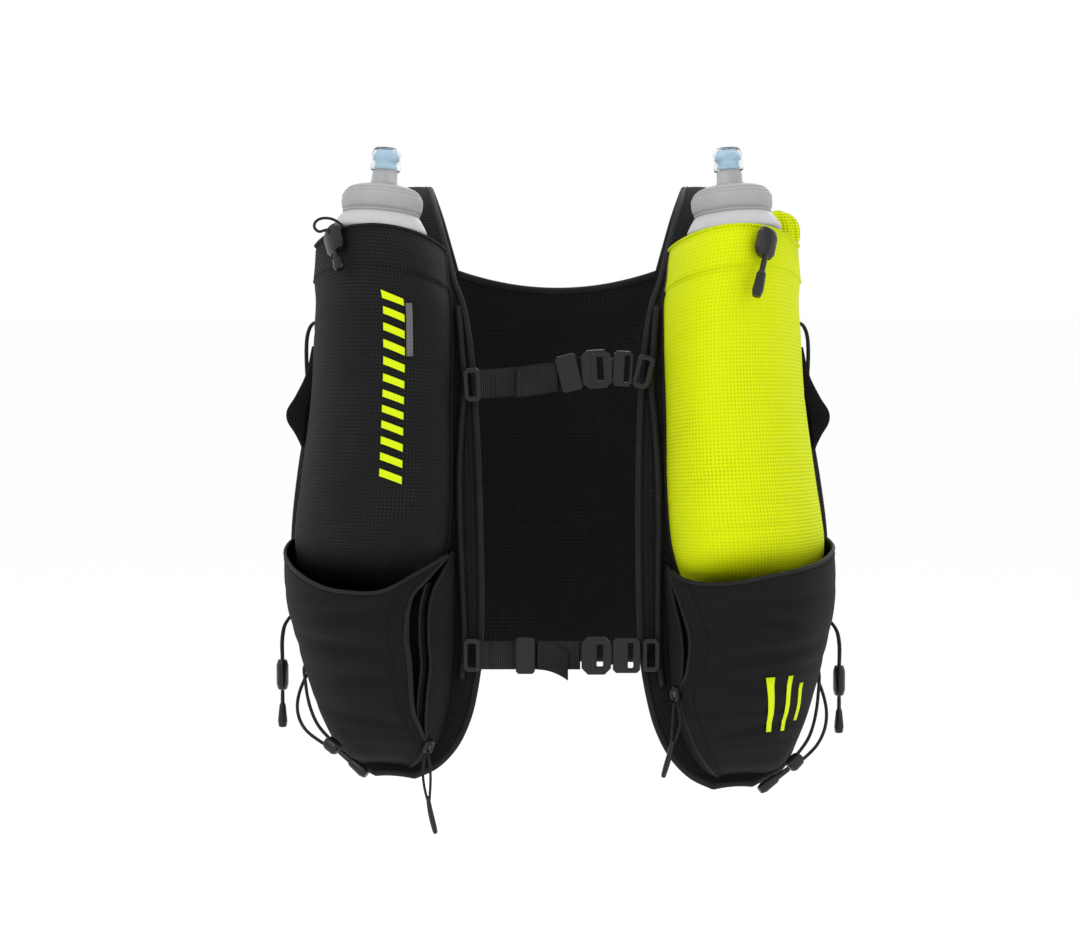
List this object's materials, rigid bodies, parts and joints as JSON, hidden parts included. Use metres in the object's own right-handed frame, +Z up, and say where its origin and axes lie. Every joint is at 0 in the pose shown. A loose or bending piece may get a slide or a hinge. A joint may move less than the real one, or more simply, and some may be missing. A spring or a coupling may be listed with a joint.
{
  "type": "running hydration vest",
  "caption": "Vest with soft flasks in front pockets, zipped lower pockets, sternum straps, elastic cord loops and a plain padded back with an open pocket.",
  "frame": {"origin": "middle of the neck opening, level with the tops of the shoulder straps", "axes": "+X to the right as seen from the front, +Y towards the back, +Z up"},
  "size_m": [0.3726, 0.318, 0.4335],
  "materials": {
    "pad": "matte spacer mesh",
    "mesh": "matte stretch mesh",
    "black_cloth": "matte stretch knit",
    "yellow_cloth": "perforated stretch knit",
    "webbing": "ribbed woven tape",
    "plastic": "moulded, satin",
    "cord": "braided elastic cord",
    "flask": "soft translucent film",
    "cap": "matte grey moulding",
    "valve": "soft clear silicone"
  },
  "bodies": {
    "root": {"harness_panel_l": "pad", "bottle_pocket_l": "black_cloth", "flask_body_l": "flask", "flask_cap_l": "cap", "bite_valve_l": "valve", "lower_pocket_l": "black_cloth", "pocket_gusset_l": "black_cloth", "zip_tape_front_l": "webbing", "zip_tape_back_l": "webbing", "zip_slider_l": "plastic", "zip_pull_l": "cord", "rail_l": "webbing", "side_mesh_l": "mesh", "side_strap_l": "webbing", "upper_loop_l": "cord", "lower_loop_l": "cord", "loop_lock_l": "plastic", "loop_toggle_l": "plastic", "side_cord_l": "cord", "side_lock_l": "plastic", "side_toggle_l": "plastic", "hem_lock_l": "plastic", "harness_panel_r": "pad", "bottle_pocket_r": "yellow_cloth", "flask_body_r": "flask", "flask_cap_r": "cap", "bite_valve_r": "valve", "lower_pocket_r": "black_cloth", "pocket_gusset_r": "black_cloth", "zip_tape_front_r": "webbing", "zip_tape_back_r": "webbing", "zip_slider_r": "plastic", "zip_pull_r": "cord", "rail_r": "webbing", "side_mesh_r": "mesh", "side_strap_r": "webbing", "upper_loop_r": "cord", "lower_loop_r": "cord", "loop_lock_r": "plastic", "loop_toggle_r": "plastic", "side_cord_r": "cord", "side_lock_r": "plastic", "side_toggle_r": "plastic", "hem_lock_r": "plastic", "back_panel": "pad", "back_pocket": "black_cloth", "upper_sternum_ring_l": "plastic", "upper_sternum_ring_r": "plastic", "upper_sternum_webbing": "webbing", "upper_sternum_keeper": "plastic", "upper_sternum_buckle_female": "plastic", "upper_sternum_buckle_male": "plastic", "lower_sternum_ring_l": "plastic", "lower_sternum_ring_r": "plastic", "lower_sternum_webbing": "webbing", "lower_sternum_keeper": "plastic", "lower_sternum_buckle_female": "plastic", "lower_sternum_buckle_male": "plastic"}
  },
  "joints": []
}
